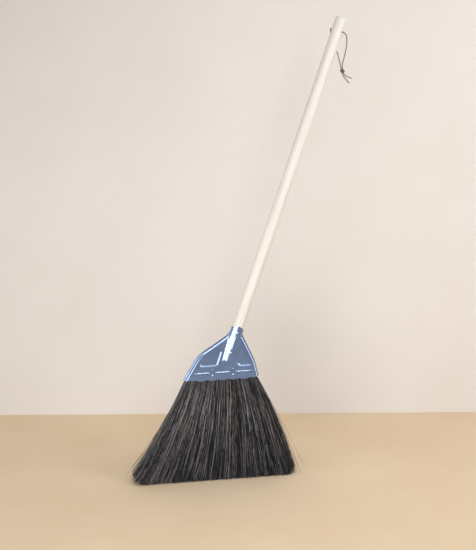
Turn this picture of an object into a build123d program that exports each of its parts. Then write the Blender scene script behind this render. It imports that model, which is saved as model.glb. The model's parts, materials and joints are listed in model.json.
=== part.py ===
from build123d import *
from math import atan, cos, pi, radians, sin, sqrt, tan
import os
import random

# A long-handled fibre broom. The frame: X runs along the row of bristle tips, Y from front to back,
# Z up. The origin is the middle of the tips, on the floor. The handle slants towards +X.

# Handle
handle_diameter = 22.0
handle_skew = 20.2
handle_reach = 616.0
handle_seat = 62.0
handle_top_round = 2.5
handle_foot_round = 4.0
handle_fit = 0.15

# Hole for the hanging cord, turned about the handle so that its left mouth is behind
hang_hole_diameter = 3.0
hang_hole_drop = 25.0
hang_hole_bevel = 0.6
hang_hole_turn = 40.0

# Ferrule: sheet, outline and depth. Heights on the ferrule are measured from its lower rim
sheet = 0.6
ferrule_height = 99.0
ferrule_width = 142.0
ferrule_shift = 22.4
socket_shift = 36.6
rim_half_depth = 9.5
neck_half_depth = 5.0
left_flare = 32.4
right_flare = 11.7
left_shoulder_rise = 46.0
right_shoulder_rise = 30.5
left_neck_length = 18.0
right_neck_length = 13.0
left_shoulder_round = 60.0
right_shoulder_round = 120.0
left_neck_round = 30.0
right_neck_round = 12.0
neck_tuck = 1.5
edge_round = 4.0
socket_length = 80.0
socket_blend = 8.0
socket_blend_inside = 6.0
mouth_crest = 2.0
mouth_drop = 6.0
outline_overrun = 12.0

# Folded hem along both sides of the ferrule
hem_width = 1.4
hem_fit = 0.05
hem_clear = 0.9

# Scalloped lower rim
scallop_count = 5
scallop_pitch = 21.0
scallop_drop = 2.4

# Sunk panels beside the socket, each with its lower left corner cut off
panel_sink = 1.4
left_panel_base = 25.4
right_panel_base = 22.8
panel_top = 57.0
left_panel_gap = 4.0
right_panel_gap = 7.5
left_panel_margin = 8.2
right_panel_margin = 5.6
panel_corner = 3.2
panel_cut = 11.0
panel_draft = 60.0

# Beads: three bone-shaped bars, two short uprights between them, and one rib on the socket
bead_row_shift = 2.8
bar_pitch = 40.0
bar_height = 13.0
bar_span = 25.2
bar_radius = 1.8
bulb_radius = 2.7
upright_height = 15.8
upright_span = 6.6
upright_radius = 2.0
rib_drop = 31.0
rib_span = 24.0
rib_radius = 2.3
rib_sink = 1.0

# Nails
nail_shank = 2.0
nail_hole_fit = 0.1
socket_nail_head = 4.4
socket_nail_length = 14.0
socket_nail_drops = (10.5, 51.0)
clamp_nail_head = 3.6
clamp_nail_height = 8.0
nail_head_rise = 1.0

# Fibre bundles: free length, spread of the tips, and the butts inside the ferrule
bristle_length = 198.0
tips_width = 318.0
tips_depth = 50.0
left_bow = 4.0
right_bow = 10.0
left_corner_width = 34.0
left_corner_rise = 19.0
right_corner_width = 16.0
right_corner_rise = 10.0
bundle_columns = (11, 11, 15, 10, 10)
strand_rows = 7
strand_sides = 3
strand_runs = 3
strand_root = 0.6
strand_tip = 1.7
strand_scatter = 0.18
strand_bury = 1.0
strand_inset = 0.8
butt_recess = 3.0
butt_height = 19.0
butt_corner = 2.5
bundle_gap = 3.0
fibre_fit = 0.4

# Wire that ties each bundle's butt
binding_wire = 1.2
binding_height = 16.0
binding_fit = 0.05

# Hanging cord
cord_diameter = 2.0
knot_length = 9.0
knot_radius = 4.4
knot_waist = 3.8
knot_face = 2.8
knot_tilt = 12.0
cord_spread = 2.6
cord_clear = 3.0
cord_lead = 6.0
bend_share = 0.45

# Directions and places worked out from the sizes
skew = radians(handle_skew)
along = Vector(sin(skew), 0, cos(skew))
across = Vector(cos(skew), 0, -sin(skew))
back = Vector(0, 1, 0)
handle_radius = handle_diameter / 2
socket_radius = handle_radius + handle_fit + sheet
rim_left = ferrule_shift - ferrule_width / 2
rim_right = ferrule_shift + ferrule_width / 2
mouth = Vector(ferrule_shift + socket_shift, 0, bristle_length + ferrule_height)
hang_hole = mouth + along * (handle_reach - hang_hole_drop)
bore = across * cos(radians(hang_hole_turn)) - back * sin(radians(hang_hole_turn))
face_tilt = atan((rim_half_depth - neck_half_depth) / ferrule_height)
face_normal = Vector(0, -cos(face_tilt), sin(face_tilt))
bead_row_middle = ferrule_shift + bead_row_shift
clamp_nail_places = (bead_row_middle - bar_pitch / 2, bead_row_middle + bar_pitch / 2)
middle_plane = Plane(origin=(0, 0, bristle_length), x_dir=(1, 0, 0), z_dir=(0, -1, 0))
socket_plane = Plane(origin=mouth, x_dir=-along, z_dir=(0, -1, 0))
mouth_plane = Plane(origin=mouth, x_dir=across, z_dir=along)


def half_depth(height):
    """Outside half depth of the ferrule's flat face at a height above its lower rim."""
    return rim_half_depth - height * tan(face_tilt)


def face_plane(x, height, sink=0.0):
    """Plane on the ferrule's front face, its x along the rim and its y up the face."""
    place = Vector(x, -half_depth(height), bristle_length + height) - face_normal * sink
    return Plane(origin=place, x_dir=(1, 0, 0), z_dir=face_normal)


def flat_outline(grow):
    """Outline of the ferrule's body, as x and height above the rim, grown on every side."""
    foot = mouth - Vector(0, 0, bristle_length)
    neck_half = socket_radius - neck_tuck
    corners = [
        Vector(rim_left - outline_overrun * tan(radians(left_flare)), 0, -outline_overrun),
        Vector(rim_left + left_shoulder_rise * tan(radians(left_flare)), 0, left_shoulder_rise),
        foot - along * left_neck_length - across * neck_half,
        foot + along * outline_overrun - across * neck_half,
        foot + along * outline_overrun + across * neck_half,
        foot - along * right_neck_length + across * neck_half,
        Vector(rim_right - right_shoulder_rise * tan(radians(right_flare)), 0, right_shoulder_rise),
        Vector(rim_right + outline_overrun * tan(radians(right_flare)), 0, -outline_overrun),
    ]
    rounds = [left_shoulder_round, left_neck_round, 0, 0, right_neck_round, right_shoulder_round]
    with BuildSketch() as outline:
        with BuildLine():
            side = FilletPolyline([(corner.X, corner.Z) for corner in corners], radius=rounds)
            Line(side @ 1, side @ 0)
        make_face()
        if grow:
            offset(amount=grow, kind=Kind.INTERSECTION)
    return outline.sketch


def side_strip(outer, inner):
    """Strip along both sides of the ferrule between two grown outlines, rounded off at the mouth."""
    wide = flat_outline(outer)
    narrow = flat_outline(inner)
    foot = mouth - Vector(0, 0, bristle_length)
    with BuildSketch() as strip:
        add(wide)
        with Locations(Location((foot.X, foot.Z), -handle_skew)):
            above = (Align.CENTER, Align.MIN)
            Rectangle(ferrule_width, ferrule_width, align=above, mode=Mode.SUBTRACT)
        fillet(strip.vertices().group_by(Axis((0, 0, 0), (along.X, along.Z, 0)))[-1], outer)
        add(narrow, mode=Mode.SUBTRACT)
    return strip.sketch


def panel_outline(side, gap, margin, base, grow):
    """Panel between the socket and one side of the ferrule: side is -1 for left, 1 for right."""
    foot = mouth - Vector(0, 0, bristle_length)
    near = foot + across * side * (socket_radius + gap)
    reach = along * 2 * ferrule_height
    far = across * side * 2 * ferrule_width
    beside = [near + reach, near - reach, near - reach + far, near + reach + far]
    inner = flat_outline(-margin)
    with BuildSketch() as panel:
        add(inner)
        Polygon([(corner.X, corner.Z) for corner in beside], align=None, mode=Mode.INTERSECT)
        with Locations((0, (base + panel_top) / 2)):
            Rectangle(4 * ferrule_width, panel_top - base, mode=Mode.INTERSECT)
        corner = panel.vertices().sort_by(Axis((0, 0, 0), (1, 1, 0)))[0]
        with Locations((corner.X, corner.Y)):
            Rectangle(panel_cut, panel_cut, rotation=45, mode=Mode.SUBTRACT)
        offset(amount=grow - panel_corner)
        offset(amount=panel_corner)
    return panel.sketch


def bead(plane, span, radius, end_radius):
    """Round-backed bead along a plane's x, with a ball at each end."""
    with Locations(plane.location):
        Cylinder(radius, span, rotation=(0, 90, 0))
    with Locations(plane.location * Pos(-span / 2), plane.location * Pos(span / 2)):
        Sphere(end_radius)


def pressed_form(inset):
    """Front half of the ferrule as a solid form, drawn in by an inset on every side."""
    outline = flat_outline(-inset)
    left_panel = panel_outline(-1, left_panel_gap, left_panel_margin, left_panel_base, inset)
    right_panel = panel_outline(1, right_panel_gap, right_panel_margin, right_panel_base, inset)
    with BuildPart() as form:
        with BuildSketch(middle_plane):
            add(outline)
        extrude(amount=rim_half_depth + outline_overrun)
        split(bisect_by=face_plane(0, 0, inset), keep=Keep.BOTTOM)
        front = form.faces().sort_by(Axis.Y)[0]
        fillet(front.edges().sort_by(Axis.Z)[1:], edge_round - inset)

        # Half-round socket with a ball end, along the handle's axis
        with BuildSketch(socket_plane):
            with BuildLine():
                radius = socket_radius - inset
                shoulder = socket_length - socket_radius
                Polyline((shoulder, radius), (-outline_overrun, radius), (-outline_overrun, 0), (shoulder, 0))
                Line((shoulder, 0), (shoulder + radius, 0))
                CenterArc((shoulder, 0), radius, 0, 90)
            make_face()
        revolve(axis=Axis(mouth, along))
        split(bisect_by=middle_plane, keep=Keep.TOP)

        # Soft blend from the socket to the flat face
        front = form.faces().filter_by(GeomType.PLANE).sort_by(Axis.Y)[0]
        seam = []
        for edge in front.edges():
            place = edge @ 0.5
            if place.Z > bristle_length and (place - mouth).cross(along).length < radius + handle_fit:
                seam.append(edge)
        fillet(seam, socket_blend_inside if inset else socket_blend)

        # Sunk panels
        for panel in (left_panel, right_panel):
            with BuildSketch(face_plane(0, 0, inset)):
                add(panel)
            extrude(amount=-panel_sink, taper=panel_draft, mode=Mode.SUBTRACT)

        # Bars, uprights and the rib on the socket
        for place in (-1, 0, 1):
            bar = face_plane(bead_row_middle + place * bar_pitch, bar_height, inset)
            bead(bar, bar_span, bar_radius - inset, bulb_radius - inset)
        for x in clamp_nail_places:
            face = face_plane(x, upright_height, inset)
            upright = Plane(origin=face.origin, x_dir=face.y_dir, z_dir=face.z_dir)
            bead(upright, upright_span, upright_radius - inset, upright_radius - inset)
        rib = Plane(socket_plane.offset(socket_radius - rib_sink).location * Pos(rib_drop))
        bead(rib, rib_span, rib_radius - inset, rib_radius - inset)
    return form.part


def rim_trim():
    """Everything below the scalloped lower rim."""
    row = scallop_count * scallop_pitch
    start = bead_row_middle - row / 2
    with BuildPart() as trim:
        with BuildSketch(middle_plane):
            with BuildLine():
                Polyline((start, 0), (-2 * ferrule_width, 0), (-2 * ferrule_width, -4 * outline_overrun))
                Line((-2 * ferrule_width, -4 * outline_overrun), (2 * ferrule_width, -4 * outline_overrun))
                Polyline((2 * ferrule_width, -4 * outline_overrun), (2 * ferrule_width, 0), (start + row, 0))
                for wave in range(scallop_count):
                    left = start + wave * scallop_pitch
                    SagittaArc((left, 0), (left + scallop_pitch, 0), -scallop_drop)
            make_face()
        extrude(amount=ferrule_width, both=True)
    return trim.part


def mouth_trim():
    """Everything above the arched upper edge, which is highest in front and falls to both sides."""
    arch_radius = (socket_radius**2 + mouth_drop**2) / (2 * mouth_drop)
    crest = mouth + along * mouth_crest
    with BuildPart() as trim:
        with BuildSketch(Plane(origin=crest, x_dir=across, z_dir=(0, -1, 0))):
            with Locations((0, -mouth_drop - hem_width)):
                Rectangle(4 * socket_radius, ferrule_height, align=(Align.CENTER, Align.MIN))
            with Locations((0, -arch_radius)):
                Circle(arch_radius, mode=Mode.SUBTRACT)
        extrude(amount=ferrule_width, both=True)
    return trim.part


def half_shell():
    """Pressed front half of the ferrule with its side flanges, before the hem is folded."""
    outer = pressed_form(0)
    inner = pressed_form(sheet)
    trim = rim_trim()
    arch = mouth_trim()
    flange = side_strip(hem_width, -sheet / 2)
    with BuildPart() as shell:
        add(outer)
        with BuildSketch(middle_plane):
            add(flange)
        extrude(amount=sheet)
        add(inner, mode=Mode.SUBTRACT)
        add(trim, mode=Mode.SUBTRACT)
        add(arch, mode=Mode.SUBTRACT)
        for x in clamp_nail_places:
            with Locations(face_plane(x, clamp_nail_height).location):
                Hole(nail_shank / 2 + nail_hole_fit, depth=rim_half_depth / 2)
    return shell.part


def folded_hem():
    """Lip of the front shell, folded round the back shell's flange on both sides of the ferrule."""
    edge = hem_width + hem_fit + sheet
    layers = [
        (side_strip(edge, hem_width / 2), sheet, sheet),
        (side_strip(edge, hem_width + hem_fit), 0, 2 * sheet + hem_fit),
        (side_strip(edge, hem_clear), -sheet - hem_fit, sheet),
    ]
    trim = rim_trim()
    arch = mouth_trim()
    with BuildPart() as hem:
        for strip, start, thickness in layers:
            with BuildSketch(middle_plane.offset(start)):
                add(strip)
            extrude(amount=-thickness)
        with Locations(mouth_plane.location):
            Cylinder(socket_radius + hem_fit, 2 * ferrule_height, mode=Mode.SUBTRACT)
        add(trim, mode=Mode.SUBTRACT)
        add(arch, mode=Mode.SUBTRACT)
    return hem.part


def nail_head(plane, radius):
    """Domed nail head standing on a plane."""
    sphere_radius = (radius**2 + nail_head_rise**2) / (2 * nail_head_rise)
    half_way = sqrt(sphere_radius**2 - (radius / 2) ** 2) - sphere_radius + nail_head_rise
    with BuildPart() as head:
        with BuildSketch(Plane(origin=plane.origin, x_dir=plane.x_dir, z_dir=-plane.y_dir)):
            with BuildLine():
                ThreePointArc((0, nail_head_rise), (radius / 2, half_way), (radius, 0))
                Polyline((radius, 0), (0, 0), (0, nail_head_rise))
            make_face()
        revolve(axis=Axis(plane.origin, plane.z_dir))
    return head.part


def side_wall(height):
    """Insides of the ferrule's left and right walls at a height above the rim, less the fibre's fit."""
    left_wall = sheet / cos(radians(left_flare)) + fibre_fit
    right_wall = sheet / cos(radians(right_flare)) + fibre_fit
    left = rim_left + left_wall + height * tan(radians(left_flare))
    right = rim_right - right_wall - height * tan(radians(right_flare))
    return left, right


def bundle_edges(bundle, height):
    """Left and right edge of one bundle's butt at a height above the rim."""
    left, right = side_wall(clamp_nail_height)
    nails = [(x - left) / (right - left) for x in clamp_nail_places]
    shares = [0, nails[0] / 2, nails[0], nails[1], (nails[1] + 1) / 2, 1]
    left, right = side_wall(height)
    start = left + shares[bundle] * (right - left)
    end = left + shares[bundle + 1] * (right - left)
    if bundle > 0:
        start = start + bundle_gap / 2
    if bundle < len(bundle_columns) - 1:
        end = end - bundle_gap / 2
    return start, end


def butt_half_depth(height):
    """Half depth of the butts, a fit inside the ferrule's faces."""
    return half_depth(height) - sheet / cos(face_tilt) - fibre_fit


def butt_plane(bundle, height):
    """Level plane at the middle of one butt."""
    start, end = bundle_edges(bundle, height)
    return Plane(origin=((start + end) / 2, 0, bristle_length + height))


def butt_size(bundle, height):
    """Width and depth of one butt at a height above the rim."""
    start, end = bundle_edges(bundle, height)
    return end - start, 2 * butt_half_depth(height)


def tip_height(x):
    """Height of the trimmed tips above the floor: level, and rounded off at both corners."""
    left = max(0, left_corner_width - tips_width / 2 - x) / left_corner_width
    right = max(0, x - tips_width / 2 + right_corner_width) / right_corner_width
    return left_corner_rise * left**2 + right_corner_rise * right**2


def level_ring(x, y, z, radius, turn):
    """Corners of a level, regular section of a strand."""
    angles = [radians(turn + 360 * side / strand_sides) for side in range(strand_sides)]
    return [Vector(x + radius * cos(angle), y + radius * sin(angle), z) for angle in angles]


def strand(bundle, column, row, scatter):
    """One flat-sided strand from a butt to its tip, bowed a little towards the handle's side."""
    columns = sum(bundle_columns)
    order = sum(bundle_columns[:bundle]) + column
    dx, dy = scatter.uniform(-1, 1) * strand_scatter, scatter.uniform(-1, 1) * strand_scatter
    turn = scatter.uniform(0, 360 / strand_sides)
    if 2 * order + 1 == columns and 2 * row + 1 == strand_rows:
        dx, dy = 0, 0
    start, end = bundle_edges(bundle, butt_recess)
    share = (order + 0.5 + dx) / columns
    deep = (row + 0.5 + dy) / strand_rows - 0.5
    spread = end - start - 2 * strand_inset
    root_x = start + strand_inset + (column + 0.5 + dx) / bundle_columns[bundle] * spread
    root_y = deep * 2 * butt_half_depth(butt_recess)
    root_z = bristle_length + butt_recess + strand_bury
    tip_x = (share - 0.5) * tips_width
    tip_y = deep * tips_depth
    tip_z = tip_height(tip_x)
    bow = left_bow + share * (right_bow - left_bow)
    rings = []
    for step in range(strand_runs + 1):
        down = step / strand_runs
        x = root_x + down * (tip_x - root_x) + 4 * down * (1 - down) * bow
        y = root_y + down * (tip_y - root_y)
        z = root_z + down * (tip_z - root_z)
        rings.append(level_ring(x, y, z, strand_root + down * (strand_tip - strand_root), turn))
    faces = [Face(Wire.make_polygon(ring)) for ring in (rings[0], rings[-1])]
    for upper, lower in zip(rings, rings[1:]):
        for side in range(strand_sides):
            corners = [upper[side - 1], upper[side], lower[side], lower[side - 1]]
            faces.append(Face(Wire.make_polygon(corners)))
    return Solid(Shell(faces))


def beside_hole(across_by, down_by, back_by):
    """Point by the hang hole: to the right across the handle, down along it, and behind it."""
    return hang_hole + across * across_by - along * down_by + back * back_by


def corner_radii(points):
    """As large a bend at each corner of a cord's route as its two runs allow."""
    radii = []
    for before, corner, after in zip(points, points[1:], points[2:]):
        run = min((corner - before).length, (after - corner).length)
        turn = radians((corner - before).get_angle(after - corner))
        radii.append(bend_share * run / tan(turn / 2))
    return radii


def cord_tube(name, points):
    """Round cord along a route of straight runs joined by bends."""
    radii = corner_radii(points)
    with BuildPart() as tube:
        with BuildLine() as route:
            FilletPolyline(points, radius=radii)
        path = route.wire()
        with BuildSketch(Plane(origin=path @ 0, z_dir=path % 0)):
            Circle(cord_diameter / 2)
        sweep(path=path)
    print(name, "length", round(path.length, 1), "bends", [round(radius, 1) for radius in radii])
    full = path.length * pi * cord_diameter**2 / 4
    print(name, "volume", round(tube.part.volume, 2), "section times length", round(full, 2))
    return tube


def save(block, name):
    """Labels a finished piece and writes it."""
    block.part.label = name
    export_step(block.part, "parts/" + name + ".step")


os.makedirs("parts", exist_ok=True)

# Handle: a dowel, seated in the socket, with pilot holes for the nails and the hang hole near its top
with BuildPart() as handle:
    with BuildSketch(mouth_plane.offset(-handle_seat)):
        Circle(handle_radius)
    extrude(amount=handle_seat + handle_reach)
    fillet(handle.edges().sort_by(Axis.Z)[-1], handle_top_round)
    fillet(handle.edges().sort_by(Axis.Z)[0], handle_foot_round)
    for side in (bore, -bore):
        with Locations(Plane(origin=hang_hole + side * handle_radius, x_dir=along, z_dir=side).location):
            CounterSinkHole(
                hang_hole_diameter / 2,
                hang_hole_diameter / 2 + hang_hole_bevel,
                depth=handle_radius,
            )
    for drop in socket_nail_drops:
        crest = mouth - along * drop - back * handle_radius
        with Locations(Plane(origin=crest, x_dir=across, z_dir=-back).location):
            Hole(nail_shank / 2 + nail_hole_fit, depth=socket_nail_length)
save(handle, "handle")

# Ferrule shells: pressed alike, the front one with the hem and the holes for the socket's nails
pressed_half = half_shell()
hem_lip = folded_hem()
with BuildPart() as ferrule_front_shell:
    add(pressed_half)
    add(hem_lip)
    for drop in socket_nail_drops:
        crest = mouth - along * drop - back * socket_radius
        with Locations(Plane(origin=crest, x_dir=across, z_dir=-back).location):
            Hole(nail_shank / 2 + nail_hole_fit, depth=socket_radius / 2)
save(ferrule_front_shell, "ferrule_front_shell")

with BuildPart() as ferrule_back_shell:
    mirror(pressed_half, about=Plane.XZ)
save(ferrule_back_shell, "ferrule_back_shell")

# Nails that hold the handle in its socket
for name, drop in zip(("socket_nail_upper", "socket_nail_lower"), socket_nail_drops):
    seat = Plane(origin=mouth - along * drop - back * socket_radius, x_dir=across, z_dir=-back)
    head = nail_head(seat, socket_nail_head / 2)
    with BuildPart() as socket_nail:
        add(head)
        with BuildSketch(seat):
            Circle(nail_shank / 2)
        extrude(amount=-socket_nail_length)
        chamfer(socket_nail.edges().sort_by(Axis.Y)[-1], nail_shank / 4)
    save(socket_nail, name)

# Nails that pinch the two shells on the fibre, with a head on each side
for name, x in zip(("clamp_nail_left", "clamp_nail_right"), clamp_nail_places):
    reach = half_depth(clamp_nail_height - clamp_nail_head / 2)
    place = Vector(x, 0, bristle_length + clamp_nail_height)
    seats = [Plane(origin=place + side * reach, x_dir=(1, 0, 0), z_dir=side) for side in (-back, back)]
    heads = [nail_head(seat, clamp_nail_head / 2) for seat in seats]
    with BuildPart() as clamp_nail:
        add(heads)
        with BuildSketch(Plane(origin=place, x_dir=(1, 0, 0), z_dir=back)):
            Circle(nail_shank / 2)
        extrude(amount=reach, both=True)
    save(clamp_nail, name)

# Fibre bundles: a pressed butt with a groove for its wire, and the strands fused to it in one go
for bundle in range(len(bundle_columns)):
    scatter = random.Random(bundle)
    places = [(column, row) for column in range(bundle_columns[bundle]) for row in range(strand_rows)]
    strands = [strand(bundle, column, row, scatter) for column, row in places]
    groove_width, groove_depth = butt_size(bundle, binding_height)
    waist = groove_width - 2 * binding_wire, groove_depth - 2 * binding_wire
    with BuildPart() as bristle_bundle:
        for height in (butt_recess, butt_recess + butt_height):
            with BuildSketch(butt_plane(bundle, height)):
                RectangleRounded(*butt_size(bundle, height), butt_corner)
        loft(ruled=True)
        with BuildSketch(butt_plane(bundle, binding_height).offset(-binding_wire / 2 - binding_fit)):
            Rectangle(2 * groove_width, 2 * groove_depth)
            RectangleRounded(*waist, butt_corner - binding_wire, mode=Mode.SUBTRACT)
        extrude(amount=binding_wire + 2 * binding_fit, mode=Mode.SUBTRACT)
        add(strands)
    save(bristle_bundle, "bristle_bundle_" + str(bundle + 1))

    # The wire lies in the groove, round the whole butt
    wire_size = groove_width - binding_wire, groove_depth - binding_wire
    with BuildPart() as bundle_binding:
        with BuildSketch(butt_plane(bundle, binding_height), mode=Mode.PRIVATE) as loop:
            RectangleRounded(*wire_size, butt_corner - binding_wire / 2)
        turn = loop.sketch.wire()
        with BuildSketch(Plane(origin=turn @ 0, z_dir=turn % 0)):
            Circle(binding_wire / 2 - binding_fit)
        sweep(path=turn)
    save(bundle_binding, "bundle_binding_" + str(bundle + 1))

# Hanging cord: a loop through the hang hole, its left strand passing behind the handle to the knot
knot_middle = hang_hole + Vector(9.8, 9.0, -76.5)
knot_down = Vector(sin(radians(knot_tilt)), 0, -cos(radians(knot_tilt)))
knot_right = Vector(cos(radians(knot_tilt)), 0, sin(radians(knot_tilt)))
knot_top = knot_middle - knot_down * knot_length / 2
knot_foot = knot_middle + knot_down * knot_length / 2
half_spread = knot_right * cord_spread / 2
lead = knot_down * cord_lead

round_handle = handle_radius + cord_clear + cord_diameter / 2

right_route = [
    hang_hole,
    hang_hole + bore * round_handle,
    hang_hole + Vector(14.6, -6.5, -7.5),
    hang_hole + Vector(16.9, -2.5, -14.0),
    hang_hole + Vector(17.6, 0.5, -23.0),
    hang_hole + Vector(16.7, 3.2, -34.0),
    hang_hole + Vector(14.4, 5.6, -45.5),
    hang_hole + Vector(11.6, 7.6, -57.0),
    knot_top + half_spread - lead,
    knot_top + half_spread,
]
left_route = [
    hang_hole,
    hang_hole - bore * round_handle,
    beside_hole(0.5 - handle_radius, 4.5, round_handle - 2.8),
    beside_hole(-5.0, 11.5, round_handle + 0.2),
    beside_hole(3.0, 21.0, round_handle + 0.2),
    beside_hole(10.0, 31.0, round_handle - 1.1),
    beside_hole(18.4, 43.0, round_handle - 3.0),
    hang_hole + Vector(4.6, 10.2, -58.5),
    knot_top - half_spread - lead,
    knot_top - half_spread,
]
right_tail_route = [
    knot_foot + half_spread,
    knot_foot + half_spread + knot_down * 3.0,
    hang_hole + Vector(18.5, 9.3, -87.3),
    hang_hole + Vector(23.0, 9.7, -89.6),
    hang_hole + Vector(27.4, 10.0, -91.0),
]
left_tail_route = [
    knot_foot - half_spread,
    knot_foot - half_spread + knot_down * 4.0,
    hang_hole + Vector(14.5, 8.8, -90.5),
    hang_hole + Vector(18.6, 8.6, -95.5),
    hang_hole + Vector(22.3, 8.5, -99.7),
]
for name, points in (
    ("hang_cord_right", right_route),
    ("hang_cord_left", left_route),
    ("hang_cord_tail_right", right_tail_route),
    ("hang_cord_tail_left", left_tail_route),
):
    save(cord_tube(name, points), name)

# Knot: two bulging wraps with flat ends, where the strands go in and the tails come out
knot_half = knot_length / 2
with BuildPart() as hang_cord_knot:
    with BuildSketch(Plane(origin=knot_middle, x_dir=knot_down, z_dir=(0, -1, 0))):
        with BuildLine():
            ThreePointArc((-knot_half, knot_face), (-knot_half / 2, knot_radius), (0, knot_waist))
            ThreePointArc((0, knot_waist), (knot_half / 2, knot_radius), (knot_half, knot_face))
            Polyline((knot_half, knot_face), (knot_half, 0), (-knot_half, 0), (-knot_half, knot_face))
        make_face()
    revolve(axis=Axis(knot_middle, knot_down))
save(hang_cord_knot, "hang_cord_knot")
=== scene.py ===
# %% [markdown]
# A long-handled sweeping broom
#
# The broom is a turned wooden handle in a pressed sheet-metal head, which pinches five
# bundles of stiff dark fibre. A short twine loop, tied in a knot, hangs through a hole near
# the handle's top.
#
# Handle, head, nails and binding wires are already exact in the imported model, so they stay
# as they are and only get a finish here. Fibres and twine are soft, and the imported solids
# only stand in for them, so this lesson makes them anew in the same places.

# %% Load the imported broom
import json
import math
from functools import partial

import bpy
from mathutils import Matrix, Vector

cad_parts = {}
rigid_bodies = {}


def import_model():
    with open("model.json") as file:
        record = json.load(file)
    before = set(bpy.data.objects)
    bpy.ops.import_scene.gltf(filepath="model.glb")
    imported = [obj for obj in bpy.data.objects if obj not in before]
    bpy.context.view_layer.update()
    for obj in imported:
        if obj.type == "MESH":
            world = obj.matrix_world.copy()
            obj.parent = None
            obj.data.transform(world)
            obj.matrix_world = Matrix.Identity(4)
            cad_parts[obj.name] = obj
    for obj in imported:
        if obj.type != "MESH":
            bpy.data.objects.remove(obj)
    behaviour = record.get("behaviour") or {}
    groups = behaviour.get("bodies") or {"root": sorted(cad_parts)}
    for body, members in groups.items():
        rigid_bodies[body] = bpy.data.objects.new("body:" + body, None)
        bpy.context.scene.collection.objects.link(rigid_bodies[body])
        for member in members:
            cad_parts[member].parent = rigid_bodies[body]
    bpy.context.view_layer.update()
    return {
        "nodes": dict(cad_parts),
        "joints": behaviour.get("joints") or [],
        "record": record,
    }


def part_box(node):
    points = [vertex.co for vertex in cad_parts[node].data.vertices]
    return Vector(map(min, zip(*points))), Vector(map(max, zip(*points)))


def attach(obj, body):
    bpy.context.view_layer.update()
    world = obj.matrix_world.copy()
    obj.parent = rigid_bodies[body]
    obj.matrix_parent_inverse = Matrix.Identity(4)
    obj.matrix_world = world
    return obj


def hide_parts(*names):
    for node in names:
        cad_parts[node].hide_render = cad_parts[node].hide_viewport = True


for leftover in list(bpy.data.objects):
    bpy.data.objects.remove(leftover)
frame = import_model()

# %% [markdown]
# The camera
#
# The photograph looks at the broom from the front, a little from its left and from above.
# A camera could be turned by eye until the picture fits. Here its place was worked out once
# from the broom's own straight lines, so it is written as three directions and a point.

# %% Place the camera
scene = bpy.context.scene
scene.view_settings.view_transform = "Standard"
picture_height = 550
focal_length_in_pixels = 1700
sensor_size = 36
camera_place = Vector((-0.3461, -3.1356, 1.0767))
towards_right = Vector((0.9903, -0.1356, -0.0313)).normalized()
towards_top = Vector((0.0588, 0.2039, 0.9772)).normalized()
towards_viewer = towards_right.cross(towards_top)
camera = bpy.data.objects.new("camera", bpy.data.cameras.new("camera"))
camera.data.sensor_width = sensor_size
camera.data.lens = sensor_size * focal_length_in_pixels / picture_height
turn = Matrix((towards_right, towards_top, towards_viewer)).transposed()
camera.matrix_world = Matrix.Translation(camera_place) @ turn.to_4x4()
scene.collection.objects.link(camera)
scene.camera = camera
print("camera lens", round(camera.data.lens, 2), "mm")

# %% [markdown]
# Helpers for node trees
#
# Finishes and fibres are both node trees. A tree can be wired one line per link, but a few
# small helpers keep each step readable: they fill one socket or several, add a node with
# its options and sockets, and add a sum.

# %% Node helpers
def fill(tree, socket, value):
    """Links a socket to another one, or sets its value."""
    if isinstance(value, bpy.types.NodeSocket):
        tree.links.new(value, socket)
    else:
        socket.default_value = value


def fill_all(tree, node, sockets):
    """Fills sockets of a node by name or number."""
    for name, value in sockets.items():
        fill(tree, node.inputs[name], value)


def step(tree, kind, sockets=None, **options):
    """Adds a node with its options, and fills its sockets."""
    node = tree.nodes.new(kind)
    for option, choice in options.items():
        setattr(node, option, choice)
    fill_all(tree, node, sockets or {})
    return node


def calc(tree, operation, *values):
    """Adds a sum, and gives its result."""
    return step(tree, "ShaderNodeMath", dict(enumerate(values)), operation=operation).outputs[0]


print("node helpers ready")

# %% [markdown]
# Helpers for finishes
#
# A finish is a shader whose colour and roughness change over the surface. Pictures could be
# laid over it, but they need files and show seams. Patterns that are worked out from a place
# in the object do without both, so every finish here is made of patterns, ramps and bumps.

# %% Patterns
def place_in(tree, centre=(0, 0, 0), lean=(0, 0, 0), stretch=(1, 1, 1)):
    """Object coordinates for a pattern that has its own centre, lean and stretch."""
    coordinates = step(tree, "ShaderNodeTexCoord").outputs["Object"]
    sockets = {"Vector": coordinates, "Location": centre, "Rotation": lean, "Scale": stretch}
    return step(tree, "ShaderNodeMapping", sockets, vector_type="TEXTURE").outputs[0]


def speckle(tree, where, scale, detail=3.0, roughness=0.5):
    """A noise pattern, as a value around one half."""
    sockets = {"Vector": where, "Scale": scale, "Detail": detail, "Roughness": roughness}
    return step(tree, "ShaderNodeTexNoise", sockets).outputs["Fac"]


def weighted(tree, *shares):
    """The sum of some patterns, each times its share."""
    total = 0.0
    for pattern, share in shares:
        total = calc(tree, "MULTIPLY_ADD", pattern, share, total)
    return total


print("patterns ready")

# %% Colours, bumps and shaders
def ramp(tree, value, *stops):
    """Turns a value into a colour, by stops of place and colour."""
    node = step(tree, "ShaderNodeValToRGB", {0: value})
    while len(node.color_ramp.elements) < len(stops):
        node.color_ramp.elements.new(0.5)
    for element, (place, colour) in zip(node.color_ramp.elements, stops):
        element.position = place
        element.color = (*colour, 1)
    return node.outputs[0]


def bumps(tree, shader, height, depth, strength):
    """Lets a pattern raise the surface by a depth in metres."""
    sockets = {"Height": height, "Distance": depth, "Strength": strength}
    fill(tree, shader.inputs["Normal"], step(tree, "ShaderNodeBump", sockets).outputs[0])


def new_finish(name):
    """A new material with its tree and its shader."""
    material = bpy.data.materials.new(name)
    material.use_nodes = True
    return material, material.node_tree, material.node_tree.nodes["Principled BSDF"]


print("finish helpers ready")

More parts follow.
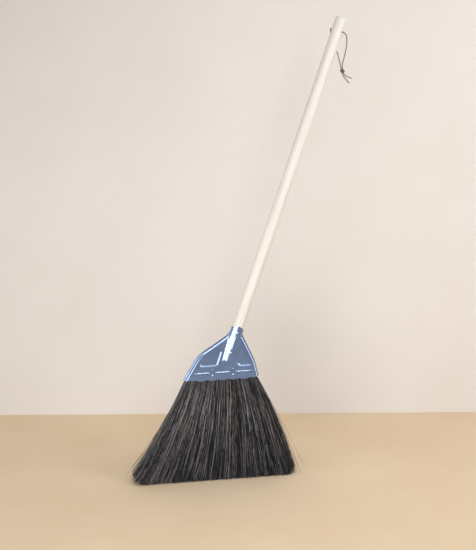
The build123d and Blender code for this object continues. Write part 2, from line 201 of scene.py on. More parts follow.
# %% [markdown]
# The twine's finish
#
# The loop is thin twine, dark brown with greyer, worn places. Its three yarns are modelled
# below. The fine hairs on them could be modelled too, but they are too thin to be seen one by
# one, so the finish hints at them with specks of tone and a rough, fuzzy surface.

# %% Twine finish
def make_twine_finish():
    """Dark brown twine with fine hairs and worn places."""
    finish, tree, shader = new_finish("dark_brown_twine")
    hairs = speckle(tree, place_in(tree), scale=2600, detail=4)
    worn = speckle(tree, place_in(tree), scale=90, detail=2)
    tone = weighted(tree, (hairs, 0.6), (worn, 0.4))
    fill_all(tree, shader, {
        "Base Color": ramp(tree, tone, (0.30, (0.055, 0.040, 0.030)),
                           (0.50, (0.150, 0.113, 0.085)), (0.72, (0.300, 0.245, 0.195))),
        "Roughness": 0.85, "Sheen Weight": 0.25})
    bumps(tree, shader, hairs, depth=0.0001, strength=0.6)
    return finish


twine_finish = make_twine_finish()
print("finish", twine_finish.name)

# %% [markdown]
# The twine's lines
#
# Each end of the twine leaves its side of the hole, hangs beside the handle, passes through
# the knot and ends in a short cut tail. A line could be drawn point by point, but that looks
# like bent wire. A smooth spline that takes the route's corners as control points sags as
# twine does. The twine's surface then follows the points of that spline. The loop swings in
# the hole, so the frame's hinge says where the hole is.

# %% Read a smooth line from its route
mm = 0.001
loop_hinge = frame["joints"][0]
hang_hole = Vector([place / mm for place in loop_hinge["pos_m"]])


def smooth_line(name, route):
    """Points along the smooth spline of a route that is given in millimetres from the hole."""
    curve = bpy.data.curves.new(name, "CURVE")
    curve.dimensions = "3D"
    curve.resolution_u = 16
    spline = curve.splines.new("NURBS")
    spline.points.add(len(route) - 1)
    for control, offset in zip(spline.points, route):
        control.co = (*(mm * (hang_hole + Vector(offset))), 1)
    spline.order_u = 3
    spline.use_endpoint_u = True
    holder = bpy.data.objects.new(name, curve)
    drawn = bpy.data.meshes.new_from_object(holder)
    line = [vertex.co.copy() for vertex in drawn.vertices]
    bpy.data.meshes.remove(drawn)
    bpy.data.objects.remove(holder)
    bpy.data.curves.remove(curve)
    return line


print("hang hole at", tuple(round(mm * value, 4) for value in hang_hole))

# %% Lines of the two ends
def line_length(line):
    """Length of a line of points."""
    return sum((after - here).length for here, after in zip(line, line[1:]))


right_line = smooth_line("right_line", [
    (0, 0, 0), (6.398, -5.721, -2.354), (10.784, -9.642, -3.968), (14.6, -6.5, -7.5),
    (16.9, -2.5, -14), (17.6, 0.5, -23), (16.7, 3.2, -34), (14.4, 5.6, -45.5),
    (11.6, 7.6, -57), (8.889, 9, -65.959), (10.136, 9, -71.828), (12.007, 9, -80.631),
    (12.631, 9, -83.566), (18.5, 9.3, -87.3), (23, 9.7, -89.6), (27.4, 10, -91)])
left_line = smooth_line("left_line", [
    (0, 0, 0), (-6.974, 6.235, 2.566), (-10.784, 9.642, 3.968), (-11.408, 12.2, -0.598),
    (-8.663, 15.2, -9.066), (-4.436, 15.2, -20.744), (-1.319, 13.9, -32.546),
    (2.420, 12, -46.709), (4.6, 10.2, -58.5), (6.345, 9, -66.5), (7.593, 9, -72.369),
    (9.464, 9, -81.172), (10.296, 9, -85.085), (14.5, 8.8, -90.5), (18.6, 8.6, -95.5),
    (22.3, 8.5, -99.7)])
print("twine lines", round(line_length(right_line), 4), round(line_length(left_line), 4), "m")

# %% [markdown]
# Laid twine
#
# Real twine is three yarns wound round each other. A smooth tube with a striped finish is
# lighter, but its outline stays straight. Here each yarn is a tube of its own that winds
# round the line, so the outline has the small bumps of laid twine.

# %% Helpers for tubes
def ways_across(line):
    """At each point two ways across the line, carried along without twisting."""
    ways, first = [], None
    for place in range(len(line)):
        ahead = line[min(place + 1, len(line) - 1)] - line[max(place - 1, 0)]
        ahead.normalize()
        first = ahead.orthogonal() if first is None else first - ahead * first.dot(ahead)
        first.normalize()
        ways.append((first, ahead.cross(first)))
    return ways


def around(centre, ways, radius, angle):
    """The point at a radius and an angle round a centre."""
    first, second = ways
    return centre + radius * (math.cos(angle) * first + math.sin(angle) * second)


def tube_faces(start, rings, sides):
    """Faces of a closed tube whose rings of corners are numbered from a start."""
    faces = []
    for here in range(start, start + (rings - 1) * sides, sides):
        for side in range(sides):
            after = (side + 1) % sides
            faces.append((here + side, here + after, here + sides + after, here + sides + side))
    last = start + (rings - 1) * sides
    faces.append(tuple(start + side for side in reversed(range(sides))))
    faces.append(tuple(last + side for side in range(sides)))
    return faces


print("tube helpers ready")

# %% A piece from corners and faces
def mesh_piece(name, corners, faces, finish):
    """A smooth piece from corners and faces, placed by its mesh alone."""
    mesh = bpy.data.meshes.new(name)
    mesh.from_pydata([tuple(corner) for corner in corners], [], faces)
    mesh.polygons.foreach_set("use_smooth", [True] * len(mesh.polygons))
    mesh.materials.append(finish)
    mesh.update()
    piece = bpy.data.objects.new(name, mesh)
    scene.collection.objects.link(piece)
    return piece


print("mesh helper ready")

# %% Wind three yarns along a line
twine_radius = 0.001
yarns = 3
yarn_share = 0.464
yarn_radius = yarn_share * twine_radius
yarn_offset = twine_radius - yarn_radius
lay_length = 0.0065
yarn_sides = 8


def wind_yarns(line, corners, faces):
    """Adds the three yarns of one length of twine to lists of corners and faces."""
    ways = ways_across(line)
    side_angles = [2 * math.pi * side / yarn_sides for side in range(yarn_sides)]
    for yarn in range(yarns):
        start, passed = len(corners), 0.0
        for place, point in enumerate(line):
            passed += (point - line[place - 1]).length if place else 0
            turned = 2 * math.pi * (passed / lay_length + yarn / yarns)
            centre = around(point, ways[place], yarn_offset, turned)
            corners.extend(around(centre, ways[place], yarn_radius, angle) for angle in side_angles)
        faces.extend(tube_faces(start, len(line), yarn_sides))


def twine_piece(name, *lines):
    """A piece of laid twine along one or more lines."""
    corners, faces = [], []
    for line in lines:
        wind_yarns(line, corners, faces)
    return mesh_piece(name, corners, faces, twine_finish)


right_twine = twine_piece("twine_right", right_line)
left_twine = twine_piece("twine_left", left_line)
print("twine faces", len(right_twine.data.polygons), len(left_twine.data.polygons))

# %% [markdown]
# The knot
#
# Both ends are tied together in one overhand knot, seen as a small lump with two slanting
# wraps. A true knot's path is long to work out, and its inside never shows. So the two ends
# run straight through, and two wraps wind round them and tuck in at both ends.

# %% Wrap the knot
knot_centre = Vector((9.8, 9, -76.5))
knot_down = Vector((0.2079, 0, -0.9781))
knot_right = Vector((0.9781, 0, 0.2079))
knot_front = knot_down.cross(knot_right)
wrap_steps = 26
wrap_turns = 1.65
wrap_radius = 3.3
wrap_pitch = 2.6
wrap_slant = 0.9
wrap_shift = 0.85
tuck_radius = 1.2
tuck_share = 0.16


def wrap_route(shift):
    """One wrap's route: it starts inside, winds round slanting, and tucks in again."""
    route = []
    for count in range(wrap_steps + 1):
        share = count / wrap_steps
        angle = 2 * math.pi * wrap_turns * (share - 0.5)
        tuck = min(1, share / tuck_share, (1 - share) / tuck_share)
        radius = tuck_radius + (wrap_radius - tuck_radius) * math.sin(0.5 * math.pi * tuck)
        drop = wrap_pitch * wrap_turns * (share - 0.5) + shift + wrap_slant * math.cos(angle)
        level = knot_centre + drop * knot_down
        route.append(around(level, (knot_right, knot_front), radius, angle))
    return route


knot = twine_piece("twine_knot", smooth_line("upper_wrap", wrap_route(-wrap_shift)),
                   smooth_line("lower_wrap", wrap_route(wrap_shift)))
print("knot faces", len(knot.data.polygons))

# %% [markdown]
# The loop moves as one body about the hole, and its hinge lies along the bore. Both
# ends and the knot go with it, and the imported stand-ins are hidden.

# %% Hang the twine
for piece in (right_twine, left_twine, knot):
    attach(piece, "hang_loop")
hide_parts("hang_cord_right", "hang_cord_tail_right")
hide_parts("hang_cord_left", "hang_cord_tail_left")
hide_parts("hang_cord_knot")
print("twine hung on", len(right_line) + len(left_line), "points")

# %% [markdown]
# The fibres' finish
#
# The fibres are stiff, dark plant fibre: mostly charcoal, with brown and a few pale
# greyish ones between. One colour for all would look like a black block. Each fibre brings
# its own tone and warmth as attributes of the mesh, and patches along it add the rest.
# Painted shade darkens the ends: the fibres near the rim, under the head, and at the tips.

# %% Levels, blends and the mesh's own numbers
def levels(tree, value, *stops):
    """Turns a value into a level, by stops of place and level."""
    return ramp(tree, value, *((place, (level,) * 3) for place, level in stops))


def blend(tree, first, second, share=1.0, way="MIX"):
    """Two colours in one, mixed by a share or multiplied."""
    share_socket, first_socket, second_socket, result_socket = 0, 6, 7, 2
    sockets = {share_socket: share, first_socket: first, second_socket: second}
    node = step(tree, "ShaderNodeMix", sockets, data_type="RGBA", blend_type=way)
    return node.outputs[result_socket]


def brought(tree, name):
    """A number that the mesh brings along under a name."""
    return step(tree, "ShaderNodeAttribute", attribute_name=name).outputs["Fac"]


print("fibre finish helpers ready")

# %% Fibre finish
def make_fibre_finish():
    """Charcoal fibre, paler, browner or patchy by each fibre's numbers, with painted shade at the
    ends.
    """
    finish, tree, shader = new_finish("dark_sweeping_fibre")
    patches = speckle(tree, place_in(tree, stretch=(1, 1, 8)), scale=700, detail=2)
    patch_strength = 1.5
    patch = calc(tree, "MULTIPLY", calc(tree, "SUBTRACT", patches, 0.5), patch_strength)
    colour = ramp(tree, calc(tree, "ADD", brought(tree, "tone"), patch),
                  (0.10, (0.009, 0.009, 0.012)), (0.45, (0.026, 0.027, 0.036)),
                  (0.70, (0.080, 0.081, 0.096)), (0.95, (0.300, 0.292, 0.298)))
    brown = ramp(tree, brought(tree, "warmth"), (0.65, (1, 1, 1)), (0.90, (1, 0.78, 0.58)))
    # Painted shade: fibres are darker near the rim, under the head, and towards the tips.
    painted_end_shade = levels(tree, brought(tree, "along"), (0.0, 0.50), (0.40, 1.0), (1.0, 0.74))
    for layer in (brown, painted_end_shade):
        colour = blend(tree, colour, layer, way="MULTIPLY")
    fill_all(tree, shader, {
        "Base Color": colour, "Roughness": levels(tree, patches, (0.3, 0.42), (0.7, 0.60)),
        "Specular IOR Level": 0.3})
    bumps(tree, shader, patches, depth=0.0002, strength=0.4)
    return finish


fibre_finish = make_fibre_finish()
print("finish", fibre_finish.name)

# %% [markdown]
# The fan of fibres
#
# Each bundle holds two to four thousand fibres. They run from the tied butts to the
# head's rim, and from there they fan out to the trimmed tips. Hair particles could draw
# them, but they leave no mesh to keep. A Geometry Nodes tree does the same by rule: it
# makes one straight line per fibre, bends all lines at once by sums on each fibre's own
# numbers, and skins them. The sizes are inputs, so one tree makes all five bundles.

# %% Inputs of the fan
fan = bpy.data.node_groups.new("fan_of_fibres", "GeometryNodeTree")
fan.interface.new_socket("Fan", in_out="OUTPUT", socket_type="NodeSocketGeometry")
fan_inputs = {
    "Int": ("Fibres", "Seed"),
    "Float": ("Locks across", "Locks deep", "Butt left", "Butt right", "Rim left", "Rim right",
              "Tip left", "Tip right", "Bow left", "Bow right", "Stray left", "Stray right",
              "Thickness", "Gathering", "Frizz", "Wander", "Crossing"),
    "Material": ("Fibre finish",)}
for kind, names in fan_inputs.items():
    for name in names:
        fan.interface.new_socket(name, in_out="INPUT", socket_type="NodeSocket" + kind)
given = fan.nodes.new("NodeGroupInput").outputs
print("fan inputs", len(fan.interface.items_tree) - 1)

# %% Sums in the fan
add = partial(calc, fan, "ADD")
subtract = partial(calc, fan, "SUBTRACT")
multiply = partial(calc, fan, "MULTIPLY")
divide = partial(calc, fan, "DIVIDE")
multiply_add = partial(calc, fan, "MULTIPLY_ADD")
power = partial(calc, fan, "POWER")
round_down = partial(calc, fan, "FLOOR")
smaller = partial(calc, fan, "MINIMUM")
larger = partial(calc, fan, "MAXIMUM")


def mix(low, high, share):
    """The value between two others, by a share."""
    return multiply_add(subtract(high, low), share, low)


print("sums ready")

# %% Chance in the fan
def chance(draw, low=0.0, high=1.0, owner=None):
    """A random value for each point or for each owner. Every draw has its own number."""
    low_socket, high_socket, result_socket = 2, 3, 1
    sockets = {low_socket: low, high_socket: high, "Seed": add(given["Seed"], draw)}
    if owner is not None:
        sockets["ID"] = owner
    node = step(fan, "FunctionNodeRandomValue", sockets, data_type="FLOAT")
    return node.outputs[result_socket]


print("chance ready")

# %% [markdown]
# Every fibre first gets its numbers: its place across and into the bundle, its tone and
# warmth, and chance values for its bend, its length and its thickness. Neighbours share a
# lock, a small tuft that clings together and lends its fibres a little of one tone, because
# tufts are what the eye sees from a step away.

# %% Store and read numbers
def keep(geometry, name, value):
    """Stores a number on the geometry under a name."""
    sockets = {"Geometry": geometry, "Name": name, "Value": value}
    node = step(fan, "GeometryNodeStoreNamedAttribute", sockets, data_type="FLOAT", domain="POINT")
    return node.outputs[0]


def kept(name):
    """Reads a number that was stored before."""
    sockets = {"Name": name}
    return step(fan, "GeometryNodeInputNamedAttribute", sockets, data_type="FLOAT").outputs[0]


print("numbers can be stored")

# %% Numbers of each fibre
lock_row_numbers = 97
lock_tone_share = 0.2
dark_bias = 1.8
tone_range = 1.8
darkest_tone = -0.34


def lock_number(place, locks):
    """The number of the lock that a place between 0 and 1 falls in."""
    return round_down(multiply(place, locks))


order = step(fan, "GeometryNodeInputIndex").outputs[0]
across = divide(add(order, chance(1)), given["Fibres"])
deep = chance(2)
lock = multiply_add(lock_number(deep, given["Locks deep"]), lock_row_numbers,
                    lock_number(across, given["Locks across"]))
tone = mix(power(chance(3), dark_bias), chance(4, owner=lock), lock_tone_share)
fibre_numbers = {
    "across": across, "deep": deep, "tone": multiply_add(tone, tone_range, darkest_tone),
    "luck": chance(5), "lean": chance(6, -1, 1), "sway": chance(8, -1, 1), "trim": chance(7),
    "warmth": chance(10)}
seeds = step(fan, "GeometryNodePoints", {"Count": given["Fibres"]}).outputs[0]
for name, value in fibre_numbers.items():
    seeds = keep(seeds, name, value)
print("fibre numbers stored:", *fibre_numbers)

# %% [markdown]
# A straight line with eight points stands on every seed. Its first run is the stretch
# inside the head, and the other six the free stretch below the rim.

# %% A straight line for each fibre
free_runs = 6
line_points = free_runs + 2
plain = step(fan, "GeometryNodeCurvePrimitiveLine", {"End": (0, 0, 1)}).outputs[0]
plain = step(fan, "GeometryNodeResampleCurve", {"Curve": plain, "Count": line_points}).outputs[0]
lines = step(fan, "GeometryNodeInstanceOnPoints", {"Points": seeds, "Instance": plain}).outputs[0]
lines = step(fan, "GeometryNodeRealizeInstances", {"Geometry": lines}).outputs[0]
factor = step(fan, "GeometryNodeSplineParameter").outputs["Factor"]
runs_passed = multiply(factor, free_runs + 1)
inside = smaller(runs_passed, 1)
free = divide(larger(subtract(runs_passed, 1), 0), free_runs)
lines = keep(lines, "along", free)
print("straight lines of", line_points, "points")

# %% [markdown]
# The lines are then bent. Locks draw together towards the tips, and each point slips a
# little in depth, so that fibres cross. The fan opens sideways, in a slight bow, and in
# depth, and the tips are trimmed level with rounded corners.

# %% Draw locks together
gathering_start = 0.7
slip_growth = 4


def from_middle(share):
    """A share from 0 to 1, as a value from -1 to 1."""
    return multiply_add(share, 2, -1)


def gathered(place, locks):
    """A fibre's place, drawn towards the middle of its lock as it nears the tip."""
    middle = divide(add(lock_number(place, locks), 0.5), locks)
    return mix(place, middle, multiply(power(free, gathering_start), given["Gathering"]))


side_place = gathered(kept("across"), given["Locks across"])
depth_place = from_middle(gathered(kept("deep"), given["Locks deep"]))
slip = multiply(chance(9, -1, 1), smaller(multiply(free, slip_growth), 1))
depth_place = multiply_add(slip, given["Crossing"], depth_place)
depth_place = larger(smaller(depth_place, 1), -1)
print("locks drawn together")

# %% Open the fan
butt_half_depth, rim_half_depth, tip_half_depth = 0.0064, 0.0080, 0.0236
sway_reach = 0.003


def arch(share):
    """A value that is 0 where the share is 0 or 1, and 1 halfway."""
    return multiply(multiply(share, 4), subtract(1, share))


def over_width(size):
    """A size of the bundle at the fibre's place between left and right."""
    return mix(given[size + " left"], given[size + " right"], side_place)


rim_x = over_width("Rim")
tip_x = multiply_add(kept("lean"), given["Wander"], over_width("Tip"))
bow = multiply_add(kept("sway"), sway_reach, over_width("Bow"))
x = add(mix(over_width("Butt"), rim_x, inside), multiply(bow, arch(free)))
x = multiply_add(subtract(tip_x, rim_x), free, x)
half_depth = mix(mix(butt_half_depth, rim_half_depth, inside), tip_half_depth, free)
y = multiply_add(multiply(kept("sway"), free), sway_reach, multiply(depth_place, half_depth))
print("fan opened to", 2 * tip_half_depth, "m in depth")

# %% Trim the tips
butt_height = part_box("bristle_bundle_1")[1].z
rim_height, tip_height = 0.198, 0.0005
left_corner = {"start": -0.132, "width": -0.022, "rise": 0.010}
right_corner = {"start": 0.145, "width": 0.016, "rise": 0.008}
corner_mean, corner_spread = 0.9, 0.4
shortest_by, short_rarity = 0.012, 6


def corner_rise(start, width, rise):
    """How far the trim rises near one corner of the tips."""
    share = larger(divide(subtract(tip_x, start), width), 0)
    return multiply(power(share, 2), rise)


rounding = add(corner_rise(**left_corner), corner_rise(**right_corner))
uneven = multiply_add(kept("sway"), corner_spread, corner_mean)
short = multiply_add(power(kept("trim"), short_rarity), shortest_by, tip_height)
tip_z = multiply_add(rounding, uneven, short)
z = mix(mix(butt_height, rim_height, inside), tip_z, free)
print("tips trimmed", rim_height - tip_height, "m below the rim")

# %% [markdown]
# A fan that is bent by rules alone looks combed. A slow noise along each fibre adds frizz,
# and a few fibres stray to the side.

# %% Vectors in the fan
def vector(x, y, z=0.0):
    """Three values as one vector."""
    return step(fan, "ShaderNodeCombineXYZ", {0: x, 1: y, 2: z}).outputs[0]


def vector_calc(operation, first, second, second_socket=1):
    """A sum of vectors."""
    sockets = {0: first, second_socket: second}
    return step(fan, "ShaderNodeVectorMath", sockets, operation=operation).outputs[0]


print("vectors ready")

# %% Frizz and strays
noise_across, noise_deep, noise_along = 60, 37, 2.4
frizz_ways = (1, 0.8, 0)
stray_rarity, stray_start, stray_depth = 60, 1.6, 0.004


def as_share(value):
    """A value from -1 to 1, as a share from 0 to 1."""
    return multiply_add(value, 0.5, 0.5)


where = vector(multiply(kept("across"), noise_across), multiply(kept("deep"), noise_deep),
               add(multiply(free, noise_along), given["Seed"]))
noise = step(fan, "ShaderNodeTexNoise", {"Vector": where, "Scale": 1.0, "Detail": 1.0})
frizz = vector_calc("SUBTRACT", noise.outputs["Color"], (0.5, 0.5, 0.5))
frizz = vector_calc("MULTIPLY", frizz, frizz_ways)
frizz = vector_calc("SCALE", frizz, multiply(free, given["Frizz"]), second_socket="Scale")
stray = multiply(power(kept("luck"), stray_rarity), power(free, stray_start))
sideways = mix(given["Stray left"], given["Stray right"], as_share(kept("lean")))
aside = vector(multiply(stray, sideways), multiply(stray, multiply(kept("lean"), stray_depth)))
lines = step(fan, "GeometryNodeSetPosition", {
    "Geometry": lines, "Position": vector(x, y, z),
    "Offset": vector_calc("ADD", frizz, aside)}).outputs[0]
print("frizz and strays added")

# %% [markdown]
# Last, each line gets a thin skin with three sides, which is enough at this size. Fibres
# taper towards their tips, pale ones are a little thicker, and strays are the thinnest.

# %% Skin the lines
fibre_sides = 3
thickest, thinnest = 1.2, 0.55
taper = 0.4
dark_girth, pale_gain = 0.8, 0.4
tapered = subtract(1, multiply(kept("along"), taper))
girth = multiply(given["Thickness"], multiply(mix(thickest, thinnest, kept("luck")), tapered))
girth = multiply(girth, multiply_add(kept("tone"), pale_gain, dark_girth))
section = step(fan, "GeometryNodeCurvePrimitiveCircle", {
    "Resolution": fibre_sides, "Radius": 1.0}).outputs[0]
skin = step(fan, "GeometryNodeCurveToMesh", {
    "Curve": lines, "Profile Curve": section, "Scale": girth, "Fill Caps": True}).outputs[0]
skin = step(fan, "GeometryNodeSetShadeSmooth", {"Geometry": skin}).outputs[0]
skin = step(fan, "GeometryNodeRealizeInstances", {"Geometry": skin}).outputs[0]
skin = step(fan, "GeometryNodeSetMaterial", {
    "Geometry": skin, "Material": given["Fibre finish"]}).outputs[0]
fill(fan, fan.nodes.new("NodeGroupOutput").inputs[0], skin)
print("fan tree has", len(fan.nodes), "nodes")

# %% [markdown]
# The five bundles
#
# The five bundles differ only in their sizes. The bindings say where each bundle is held,
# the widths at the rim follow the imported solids, and those at the tips the photograph. The
# outer bundles keep clear of the head's slanting sides, and only they have long strays.

# %% Sizes of a bundle
bundle_count = 5
usual_fibres, usual_width = 2900, 61.3
first_seed = 41
rim_edges = (-46.6, -19.7, 6.0, 45.0, 68.2, 91.4)
tip_edges = (-150.4, -97.6, -36.3, 47.4, 103.2, 154.6)
bow_edges = (6.0, 5.6, 5.2, 5.0, 5.0, 5.0)
left_margin, inner_margin, right_margin = 0.0064, 0.0012, 0.0034
left_stray, inner_stray, right_stray = 0.023, 0.006, 0.034
shared_sizes = {
    "Locks across": 32.0, "Locks deep": 9.0, "Thickness": 0.00054, "Gathering": 0.25,
    "Frizz": 0.012, "Wander": 0.008, "Crossing": 0.25, "Fibre finish": fibre_finish}


def bundle_sizes(number):
    """The fan's inputs for one bundle."""
    low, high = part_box(f"bundle_binding_{number}")
    leftmost, rightmost = number == 1, number == bundle_count
    here, after = number - 1, number
    sizes = {
        "Fibres": int(usual_fibres * (tip_edges[after] - tip_edges[here]) / usual_width),
        "Seed": first_seed + here,
        "Butt left": low[0] + (left_margin if leftmost else inner_margin),
        "Butt right": high[0] - (right_margin if rightmost else inner_margin),
        "Stray left": -(left_stray if leftmost else inner_stray),
        "Stray right": right_stray if rightmost else inner_stray}
    for size, edges in (("Rim", rim_edges), ("Tip", tip_edges), ("Bow", bow_edges)):
        sizes[size + " left"] = mm * edges[here]
        sizes[size + " right"] = mm * edges[after]
    return {**sizes, **shared_sizes}


print("fibres", [bundle_sizes(number)["Fibres"] for number in range(1, bundle_count + 1)])

# %% [markdown]
# The tree works on an empty mesh that carries it as a modifier. The result could stay live,
# but a plain mesh is what others can use, so each one is kept as such before it takes its
# bundle's place.

# %% Make the five bundles
def make_bundle(number):
    """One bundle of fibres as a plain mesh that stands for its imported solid."""
    sizes = bundle_sizes(number)
    holder = bpy.data.objects.new(f"fibres_{number}", bpy.data.meshes.new(f"fibres_{number}"))
    scene.collection.objects.link(holder)
    modifier = holder.modifiers.new("fan_of_fibres", "NODES")
    modifier.node_group = fan
    for socket in fan.interface.items_tree:
        if socket.name in sizes:
            modifier[socket.identifier] = sizes[socket.name]
    graph = bpy.context.evaluated_depsgraph_get()
    made = bpy.data.meshes.new_from_object(
        holder.evaluated_get(graph), preserve_all_data_layers=True, depsgraph=graph)
    holder.modifiers.clear()
    holder.data = made
    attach(holder, "broom")
    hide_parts(f"bristle_bundle_{number}")
    return holder


bundles = [make_bundle(number) for number in range(1, bundle_count + 1)]
print("fibre faces", [len(bundle.data.polygons) for bundle in bundles])

# %% [markdown]
# The handle's wood
#
# The handle is a pale, sanded dowel without lacquer. Grain could be painted along the
# surface, but a solid pattern also gives the right rings on the sawn top. So the pattern is
# a set of growth rings round a pith beside the dowel, stretched along its length, with
# streaks and fine pores on top. The frame's clip mount lies along the handle, so its axis
# gives the slant.

# %% Wood finish
mounts = {mount["name"]: mount for mount in frame["record"]["mounts"]}
handle_way = Vector(mounts["handle_clip"]["axis"])
handle_lean = math.atan2(handle_way.x, handle_way.z)


def make_wood_finish():
    """Pale sanded wood with rings, streaks, pores and slow patches from handling."""
    finish, tree, shader = new_finish("pale_sanded_wood")
    pith = {"centre": (0.029, 0.012, 0.297), "lean": (0, handle_lean, 0)}
    rings = step(tree, "ShaderNodeTexWave", {
        "Vector": place_in(tree, stretch=(1, 1, 20), **pith), "Scale": 60.0,
        "Distortion": 9.0, "Detail": 3.0, "Detail Scale": 0.8},
        wave_type="RINGS", rings_direction="Z").outputs["Fac"]
    pores = speckle(tree, place_in(tree, stretch=(1, 1, 50), **pith), scale=2400, roughness=0.6)
    streaks = speckle(tree, place_in(tree, stretch=(1, 1, 33), **pith), scale=260, detail=2)
    handled = speckle(tree, place_in(tree), scale=14, detail=2)
    tone = weighted(tree, (rings, 0.20), (streaks, 0.44), (pores, 0.24), (handled, 0.12))
    fill_all(tree, shader, {
        "Base Color": ramp(tree, tone, (0.30, (0.700, 0.640, 0.565)),
                           (0.46, (0.820, 0.785, 0.735)), (0.68, (0.880, 0.858, 0.825))),
        "Roughness": levels(tree, pores, (0.3, 0.48), (0.7, 0.64))})
    bumps(tree, shader, pores, depth=0.0002, strength=0.35)
    return finish


wood_finish = make_wood_finish()
print("finish", wood_finish.name)

# %% [markdown]
# The head's lacquered sheet
#
# The head is thin sheet, pressed to shape and covered with a clear lacquer, so it shines
# like blue-grey metal and its highlights stay white. A metallic shader alone would tint
# them. A clear coat over a bluish metal keeps both, and slow patches of roughness with fine
# rubs show the handling.

# %% Lacquer finish
def make_sheet_finish():
    """Blue-grey lacquered sheet with a clear coat, rolling marks and rubs."""
    finish, tree, shader = new_finish("blue_lacquered_sheet")
    clouds = speckle(tree, place_in(tree), scale=45)
    rubs = speckle(tree, place_in(tree, stretch=(1, 1, 7)), scale=1300, roughness=0.65)
    rolled = speckle(tree, place_in(tree, stretch=(16, 1, 1)), scale=2100, detail=2)
    tone = weighted(tree, (clouds, 0.65), (rolled, 0.35))
    wear = weighted(tree, (rubs, 0.6), (clouds, 0.4))
    fill_all(tree, shader, {
        "Base Color": ramp(tree, tone, (0.32, (0.125, 0.176, 0.285)),
                           (0.50, (0.150, 0.205, 0.325)), (0.68, (0.180, 0.240, 0.370))),
        "Metallic": 0.85, "Roughness": levels(tree, wear, (0.35, 0.12), (0.65, 0.26)),
        "Coat Weight": 1.0, "Coat IOR": 1.6, "Coat Roughness": 0.06})
    bumps(tree, shader, clouds, depth=0.0004, strength=0.12)
    return finish


sheet_finish = make_sheet_finish()
print("finish", sheet_finish.name)

# %% [markdown]
# Nails and wire
#
# The nail heads are bright steel with hammer marks, and the binding wire is duller, drawn
# steel with finer marks. Such marks could be modelled, but on pieces this small a change of
# tone and roughness with a slight bump is enough.

# %% Nail and wire finish
def steel_finish(name, dark, light, smooth, rough, grain):
    """A bare steel finish from its tones, its roughness and the size of its marks."""
    finish, tree, shader = new_finish(name)
    marks = speckle(tree, place_in(tree), scale=grain, roughness=0.6)
    fill_all(tree, shader, {
        "Base Color": ramp(tree, marks, (0.3, dark), (0.7, light)), "Metallic": 1.0,
        "Roughness": levels(tree, marks, (0.3, rough), (0.7, smooth))})
    bumps(tree, shader, marks, depth=0.0002, strength=0.3)
    return finish


nail_finish = steel_finish("bright_nail_steel", dark=(0.40, 0.45, 0.58),
                           light=(0.66, 0.72, 0.86), smooth=0.18, rough=0.36, grain=900)
wire_finish = steel_finish("drawn_binding_wire", dark=(0.22, 0.21, 0.20),
                           light=(0.46, 0.45, 0.43), smooth=0.3, rough=0.5, grain=1600)
print("finishes", nail_finish.name, wire_finish.name)

# %% [markdown]
# The exact solids take their finishes by name. Their meshes stay untouched.

# %% Dress the solids
slot_finishes = {
    "handle_wood": wood_finish, "ferrule_metal": sheet_finish, "nail_steel": nail_finish,
    "binding_wire": wire_finish, "bristle_fibre": fibre_finish, "hang_cord": twine_finish}
for solid in frame["nodes"].values():
    for slot in solid.material_slots:
        slot.material = slot_finishes[slot.material.name.split(".")[0]]
print("dressed", len(frame["nodes"]), "solids")

# %% [markdown]
# Floor and wall
#
# The broom stands on a plain, pale floor before a plain, pale wall. Neither is part of it.
# The floor's warm colour would stain the shiny sheet, so mirrors see floor and wall in a
# studio's cool grey. Seen from behind, a wall would hide the broom, so its back is
# see-through and it casts no shadow.

# %% Floor and wall finishes
studio_grey = (0.74, 0.77, 0.83, 1)


def stage_finish(name, dark, light):
    """A matt finish with a faint, cloudy tone, which mirrors see in the studio's grey."""
    finish, tree, shader = new_finish(name)
    clouds = ramp(tree, speckle(tree, place_in(tree), scale=5), (0.3, dark), (0.7, light))
    mirrored = step(tree, "ShaderNodeLightPath").outputs["Is Glossy Ray"]
    fill_all(tree, shader, {
        "Base Color": blend(tree, clouds, studio_grey, share=mirrored), "Roughness": 0.85})
    return finish


def clear_back(finish):
    """Makes the back of a finish see-through."""
    tree = finish.node_tree
    front = tree.nodes["Principled BSDF"].outputs[0]
    clear = step(tree, "ShaderNodeBsdfTransparent").outputs[0]
    behind = step(tree, "ShaderNodeNewGeometry").outputs["Backfacing"]
    sides = step(tree, "ShaderNodeMixShader", {0: behind, 1: front, 2: clear}).outputs[0]
    fill(tree, tree.nodes["Material Output"].inputs["Surface"], sides)


floor_finish = stage_finish("pale_floor", dark=(0.82, 0.635, 0.425), light=(0.86, 0.685, 0.475))
wall_finish = stage_finish("pale_wall", dark=(0.82, 0.775, 0.735), light=(0.85, 0.81, 0.78))
clear_back(wall_finish)
print("finishes", floor_finish.name, wall_finish.name)

# %% Floor and wall
reach, wall_height = 4.0, 4.0
wall_place, wall_turn = 0.432, -0.2214


def stage_plane(name, corners, finish):
    """One flat piece of the stage."""
    plane = mesh_piece(name, corners, [(0, 1, 2, 3)], finish)
    return plane


def on_wall(x, z):
    """A point of the wall."""
    return (x, wall_place + x * wall_turn, z)


stage_plane("floor", [(-reach, -reach, 0), (reach, -reach, 0), (reach, reach, 0),
                      (-reach, reach, 0)], floor_finish)
wall = stage_plane("wall", [on_wall(-reach, 0), on_wall(reach, 0), on_wall(reach, wall_height),
                            on_wall(-reach, wall_height)], wall_finish)
wall.visible_shadow = False
print("stage", 2 * reach, "m wide")

# %% [markdown]
# Light
#
# A sky alone would light the broom evenly, and round forms would look flat. So large soft
# lamps at the left and at the right model the round handle. A low one draws the white band
# on the head's socket, and a tall, narrow one in front the lines on its pressed bars. The
# left and the low one have narrow beams, so that they don't burn out the floor.

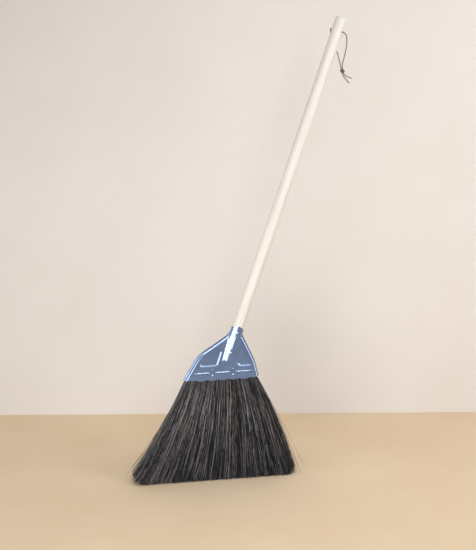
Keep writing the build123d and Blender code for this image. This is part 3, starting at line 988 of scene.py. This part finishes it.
# %% Lamps
def soft_lamp(name, place, aim, width, height, watts, beam=180):
    """A soft lamp that looks at a point with a beam in degrees, and that no camera sees."""
    lamp = bpy.data.lights.new(name, "AREA")
    lamp.shape = "RECTANGLE"
    lamp.spread = math.radians(beam)
    lamp.size, lamp.size_y = width, height
    lamp.energy = watts
    holder = bpy.data.objects.new(name, lamp)
    holder.location = place
    holder.rotation_euler = (Vector(aim) - Vector(place)).to_track_quat("-Z", "Y").to_euler()
    holder.visible_camera = False
    scene.collection.objects.link(holder)
    return holder


lamps = [
    soft_lamp("left_lamp", place=(-1.52, -0.66, 0.50), aim=(0.05, 0, 0.28), width=1.5,
              height=0.42, watts=2.5, beam=90),
    soft_lamp("low_lamp", place=(-0.62, -1.30, 0.28), aim=(0.03, 0, 0.22), width=0.75,
              height=0.50, watts=1.7, beam=90),
    soft_lamp("right_lamp", place=(1.15, -0.85, 1.25), aim=(0.25, 0, 0.75), width=0.9,
              height=1.0, watts=9.5),
    soft_lamp("front_lamp", place=(0.25, -1.70, 1.40), aim=(0.03, 0, 0.24), width=0.24,
              height=0.9, watts=11)]
print("lamps lit:", *(lamp.name for lamp in lamps))

# %% [markdown]
# The head's folded edge is a bright line on both sides. Lamps that are strong enough for so
# thin a line would wash out the wall, so two small ones are linked to the head's sheet alone.

# %% Lamps for the folded edge
head = bpy.data.collections.new("head")
for name in ("ferrule_front_shell", "ferrule_back_shell"):
    head.objects.link(frame["nodes"][name])
edge_lamps = [
    soft_lamp("left_edge_lamp", place=(-0.42, -0.20, 0.89), aim=(0.0, 0, 0.27), width=0.50,
              height=0.16, watts=2.4),
    soft_lamp("right_edge_lamp", place=(0.80, -0.23, 0.34), aim=(0.09, 0, 0.25), width=0.16,
              height=0.50, watts=2.4)]
for lamp in edge_lamps:
    lamp.light_linking.receiver_collection = head

# %% [markdown]
# A dim sky fills in the shadows, at a level where colours come out as written. The camera
# and shiny surfaces see it white, as the walls of a studio.

# %% Sky
sky_colour = (0.93, 0.95, 1.0, 1)
sky_fill = 0.24
sky_seen = 1.0
world = bpy.data.worlds.new("studio")
world.use_nodes = True
sky = world.node_tree
rays = step(sky, "ShaderNodeLightPath").outputs
seen = calc(sky, "MAXIMUM", rays["Is Camera Ray"], rays["Is Glossy Ray"])
fill_all(sky, sky.nodes["Background"], {
    "Color": sky_colour,
    "Strength": calc(sky, "MULTIPLY_ADD", seen, sky_seen - sky_fill, sky_fill)})
scene.world = world
print("sky lit")
